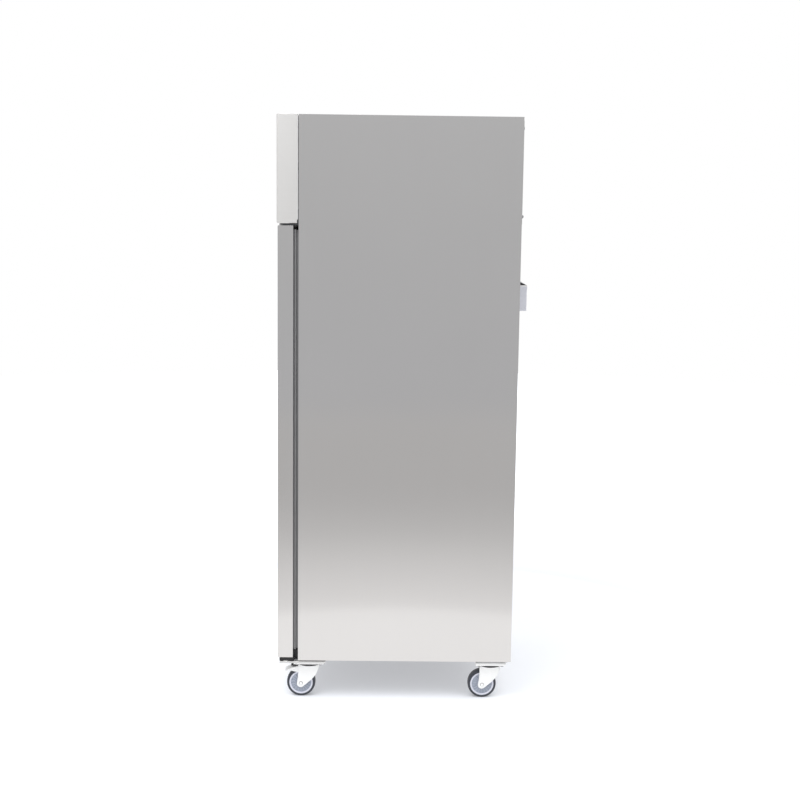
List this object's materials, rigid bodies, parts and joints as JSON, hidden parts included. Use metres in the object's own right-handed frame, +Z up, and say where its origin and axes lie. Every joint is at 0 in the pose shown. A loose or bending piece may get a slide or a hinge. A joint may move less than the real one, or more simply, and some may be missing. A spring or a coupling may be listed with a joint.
{
  "type": "upright freezer",
  "caption": "Upright stainless steel storage freezer with a solid insulated door, a top-mounted refrigeration unit behind a lift-up front cover, wire shelves and swivel casters",
  "frame": {"origin": "centre of the bounding box in plan, on the floor under the wheels", "axes": "+Z up, -Y out of the front of the cabinet, +X towards the hinge side of the door"},
  "size_m": [0.74, 0.852, 2.01],
  "materials": {
    "brushed_steel": "satin",
    "dull_steel": "matte",
    "zinc_plated": "satin",
    "foam": "matte",
    "fins": "satin",
    "dark_metal": "satin",
    "black_enamel": "gloss",
    "copper": "satin",
    "white_plastic": "satin",
    "black_plastic": "matte",
    "grey_plastic": "satin",
    "green_plastic": "gloss",
    "cable_rubber": "matte",
    "gasket": "matte",
    "tyre": "matte"
  },
  "bodies": {
    "cabinet": {"side_panels": "brushed_steel", "back_panel": "brushed_steel", "bottom_panel": "brushed_steel", "deck_panel": "brushed_steel", "front_frame": "brushed_steel", "foam_insulation": "foam", "inner_liner": "brushed_steel", "cross_rails": "dull_steel", "base_plates": "dull_steel", "bottom_hinge": "zinc_plated", "top_hinge": "zinc_plated", "lock_keeper": "zinc_plated", "pilasters": "dull_steel", "shelf_runners": "dull_steel", "evaporator_coil": "fins", "evaporator_cover": "brushed_steel", "fan_motors": "dark_metal", "drain_tube": "white_plastic", "condensate_tray": "brushed_steel", "rear_cover": "brushed_steel", "fasteners": "zinc_plated", "unit_base": "dark_metal", "compressor": "black_enamel", "condenser_coil": "fins", "condenser_shroud": "dark_metal", "refrigerant_pipes": "copper", "control_box": "dull_steel", "wiring": "cable_rubber", "cable_gland": "black_plastic", "interior_lamp": "white_plastic", "caster_plates": "zinc_plated"},
    "door": {"door_skin": "brushed_steel", "door_foam": "foam", "door_liner": "brushed_steel", "door_gasket": "gasket", "door_grip": "grey_plastic", "door_bushes": "black_plastic", "lock_case": "zinc_plated"},
    "lock": {"lock_barrel": "zinc_plated"},
    "cover": {"front_cover": "brushed_steel", "controller": "black_plastic"},
    "button_up": {"button_up": "grey_plastic"},
    "button_down": {"button_down": "grey_plastic"},
    "button_set": {"button_set": "grey_plastic"},
    "rocker": {"rocker_switch": "green_plastic"},
    "evaporator_fan": {"evaporator_fan_blade": "black_plastic"},
    "condenser_fan": {"condenser_fan_blade": "black_plastic"},
    "shelf_low": {"shelf_1": "zinc_plated"},
    "shelf_middle": {"shelf_2": "zinc_plated"},
    "shelf_high": {"shelf_3": "zinc_plated"},
    "fork_fr": {"caster_fork_fr": "zinc_plated"},
    "wheel_fr": {"wheel_fr": "tyre"},
    "fork_fl": {"caster_fork_fl": "zinc_plated"},
    "wheel_fl": {"wheel_fl": "tyre"},
    "fork_rr": {"caster_fork_rr": "zinc_plated"},
    "wheel_rr": {"wheel_rr": "tyre"},
    "fork_rl": {"caster_fork_rl": "zinc_plated"},
    "wheel_rl": {"wheel_rl": "tyre"},
    "brake_right": {"brake_r": "zinc_plated"},
    "brake_left": {"brake_l": "zinc_plated"}
  },
  "joints": [
    {"name": "door_hinge", "type": "hinge", "parent": "cabinet", "child": "door", "pos_m": [0.352, -0.396, 0.9], "axis": [0, 0, 1], "range_deg": [0, 110]},
    {"name": "lock_turn", "type": "hinge", "parent": "door", "child": "lock", "pos_m": [-0.295, -0.397, 0.165], "axis": [0, -1, 0], "range_deg": [0, 90]},
    {"name": "cover_hinge", "type": "hinge", "parent": "cabinet", "child": "cover", "pos_m": [0, -0.362, 2.004], "axis": [-1, 0, 0], "range_deg": [0, 75]},
    {"name": "button_up_press", "type": "slide", "parent": "cover", "child": "button_up", "axis": [0, 1, 0], "range_m": [0, 0.0008], "stiffness_N_per_m": 800, "springref_m": -0.0008},
    {"name": "button_down_press", "type": "slide", "parent": "cover", "child": "button_down", "axis": [0, 1, 0], "range_m": [0, 0.0008], "stiffness_N_per_m": 800, "springref_m": -0.0008},
    {"name": "button_set_press", "type": "slide", "parent": "cover", "child": "button_set", "axis": [0, 1, 0], "range_m": [0, 0.0008], "stiffness_N_per_m": 800, "springref_m": -0.0008},
    {"name": "rocker_tip", "type": "hinge", "parent": "cover", "child": "rocker", "pos_m": [-0.09, -0.418, 1.854], "axis": [1, 0, 0], "range_deg": [0, 12]},
    {"name": "evaporator_fan_spin", "type": "hinge", "parent": "cabinet", "child": "evaporator_fan", "pos_m": [0, -0.06, 1.51], "axis": [0, 0, 1], "continuous": true},
    {"name": "condenser_fan_spin", "type": "hinge", "parent": "cabinet", "child": "condenser_fan", "pos_m": [0.12, -0.157, 1.82], "axis": [0, -1, 0], "continuous": true},
    {"name": "shelf_low_slide", "type": "slide", "parent": "cabinet", "child": "shelf_low", "axis": [0, -1, 0], "range_m": [0, 0.025]},
    {"name": "shelf_middle_slide", "type": "slide", "parent": "cabinet", "child": "shelf_middle", "axis": [0, -1, 0], "range_m": [0, 0.025]},
    {"name": "shelf_high_slide", "type": "slide", "parent": "cabinet", "child": "shelf_high", "axis": [0, -1, 0], "range_m": [0, 0.025]},
    {"name": "swivel_fr", "type": "hinge", "parent": "cabinet", "child": "fork_fr", "pos_m": [0.32, -0.316, 0.115], "axis": [0, 0, 1], "continuous": true},
    {"name": "roll_fr", "type": "hinge", "parent": "fork_fr", "child": "wheel_fr", "pos_m": [0.32, -0.344, 0.05], "axis": [1, 0, 0], "continuous": true},
    {"name": "swivel_fl", "type": "hinge", "parent": "cabinet", "child": "fork_fl", "pos_m": [-0.32, -0.316, 0.115], "axis": [0, 0, 1], "continuous": true},
    {"name": "roll_fl", "type": "hinge", "parent": "fork_fl", "child": "wheel_fl", "pos_m": [-0.32, -0.344, 0.05], "axis": [1, 0, 0], "continuous": true},
    {"name": "swivel_rr", "type": "hinge", "parent": "cabinet", "child": "fork_rr", "pos_m": [0.32, 0.321, 0.115], "axis": [0, 0, 1], "continuous": true},
    {"name": "roll_rr", "type": "hinge", "parent": "fork_rr", "child": "wheel_rr", "pos_m": [0.32, 0.293, 0.05], "axis": [1, 0, 0], "continuous": true},
    {"name": "swivel_rl", "type": "hinge", "parent": "cabinet", "child": "fork_rl", "pos_m": [-0.32, 0.321, 0.115], "axis": [0, 0, 1], "continuous": true},
    {"name": "roll_rl", "type": "hinge", "parent": "fork_rl", "child": "wheel_rl", "pos_m": [-0.32, 0.293, 0.05], "axis": [1, 0, 0], "continuous": true},
    {"name": "brake_right_press", "type": "hinge", "parent": "fork_fr", "child": "brake_right", "pos_m": [0.32, -0.346, 0.107], "axis": [1, 0, 0], "range_deg": [0, 12]},
    {"name": "brake_left_press", "type": "hinge", "parent": "fork_fl", "child": "brake_left", "pos_m": [-0.32, -0.346, 0.107], "axis": [1, 0, 0], "range_deg": [0, 12]}
  ]
}
